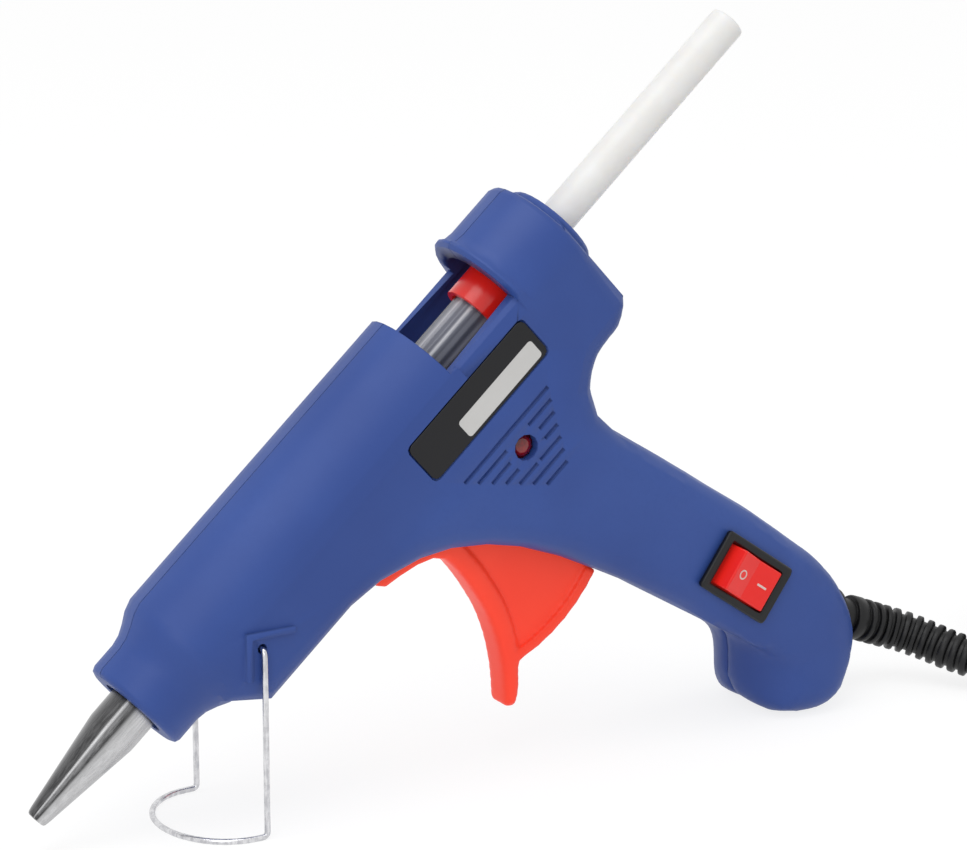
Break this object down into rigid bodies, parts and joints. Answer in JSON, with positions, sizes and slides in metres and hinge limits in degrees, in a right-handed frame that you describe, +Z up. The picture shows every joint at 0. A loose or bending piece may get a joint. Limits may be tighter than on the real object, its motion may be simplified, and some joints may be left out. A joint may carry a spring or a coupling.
{
  "type": "hot glue gun",
  "caption": "Small pistol-grip hot melt glue gun on a folding wire stand, with a sprung trigger, sliding feed carriage, rocker switch, glue stick and mains cord.",
  "frame": {"origin": "on the table under the middle of the gun and its stand, without the cord", "axes": "+X from the nozzle towards the cord, +Z up, -Y towards the side with the switch and lamp"},
  "size_m": [0.3464, 0.0449, 0.1403],
  "materials": {
    "blue_shell": "satin moulded nylon, slate blue",
    "plated_steel": "bright plated",
    "chamber_metal": "as cast",
    "ceramic_heater": "fired ceramic",
    "brass": "plain",
    "spring_steel": "plain",
    "silicone": "matte",
    "clear_tube": "clear tube",
    "red_plastic": "satin orange red",
    "red_plastic_deep": "glossy deep red",
    "red_rocker": "glossy red",
    "black_plastic": "satin black",
    "lamp_red": "clear red lens",
    "board": "circuit board",
    "label": "printed black plate with a plain white field",
    "glue": "milky glue",
    "screw_steel": "plain",
    "brown_sleeve": "wire sleeve",
    "blue_sleeve": "wire sleeve",
    "stand_wire": "bright wire",
    "black_rubber": "matte",
    "cord_sleeve": "matte",
    "pin_metal": "nickel plated"
  },
  "bodies": {
    "housing": {"left_shell": "blue_shell", "right_shell": "blue_shell", "nozzle": "plated_steel", "heating_chamber": "chamber_metal", "heater_plate": "ceramic_heater", "heater_electrode_upper": "brass", "heater_electrode_lower": "brass", "heater_clip": "spring_steel", "inlet_seal": "silicone", "seal_clip": "spring_steel", "guide_tube": "clear_tube", "trigger_pin": "spring_steel", "return_spring": "spring_steel", "switch_body": "black_plastic", "switch_terminal_upper": "brass", "switch_terminal_lower": "brass", "power_lamp": "lamp_red", "lamp_board": "board", "label_plate": "label", "case_screw_front": "screw_steel", "case_screw_middle": "screw_steel", "case_screw_rear": "screw_steel", "case_screw_grip": "screw_steel", "case_screw_butt": "screw_steel", "cord_clamp": "black_plastic", "clamp_screw_front": "screw_steel", "clamp_screw_rear": "screw_steel", "lead_live": "brown_sleeve", "lead_neutral": "blue_sleeve", "lead_switched": "brown_sleeve", "lamp_lead_switched": "brown_sleeve", "lamp_lead_neutral": "blue_sleeve", "strain_relief": "black_rubber", "inner_cord": "cord_sleeve", "cord_free": "cord_sleeve", "cord_hank": "cord_sleeve", "cord_tie": "black_plastic", "cord_end": "cord_sleeve", "plug_body": "black_plastic", "plug_pin_left": "pin_metal", "plug_pin_right": "pin_metal"},
    "carriage": {"feed_carriage": "red_plastic_deep", "jaw_pin": "spring_steel"},
    "jaw": {"grip_jaw": "spring_steel"},
    "trigger": {"trigger": "red_plastic"},
    "rocker": {"switch_rocker": "red_rocker"},
    "stick": {"glue_stick": "glue"},
    "stand": {"wire_stand": "stand_wire"}
  },
  "joints": [
    {"name": "trigger_squeeze", "type": "hinge", "parent": "housing", "child": "trigger", "pos_m": [-0.0012, 0.00113, 0.05317], "axis": [0, -1, 0], "range_deg": [0, 26], "stiffness_Nm_per_rad": 0.05, "springref_deg": -20.05},
    {"name": "carriage_slide", "type": "slide", "parent": "housing", "child": "carriage", "axis": [-0.7466, 0, -0.6652], "range_m": [0, 0.00559], "deforming": ["return_spring"]},
    {"name": "jaw_pivot", "type": "hinge", "parent": "carriage", "child": "jaw", "pos_m": [0.02211, 0.00113, 0.09015], "axis": [0, 1, 0], "range_deg": [0, 5]},
    {"name": "stick_feed", "type": "slide", "parent": "carriage", "child": "stick", "axis": [0.7466, 0, 0.6652], "range_m": [0, 0.06]},
    {"name": "power_rocker", "type": "hinge", "parent": "housing", "child": "rocker", "pos_m": [0.05746, -0.00997, 0.03243], "axis": [0.5775, 0, 0.8164], "range_deg": [-18, 0]},
    {"name": "stand_fold", "type": "hinge", "parent": "housing", "child": "stand", "pos_m": [-0.04666, 0.00113, 0.0361], "axis": [0, -1, 0], "range_deg": [0, 85]}
  ],
  "couplings": [
    {"joint": "trigger_squeeze", "follows": "carriage_slide", "rad_per_m": 81.17},
    {"joint": "jaw_pivot", "follows": "carriage_slide", "rad_per_m": 15.61}
  ]
}
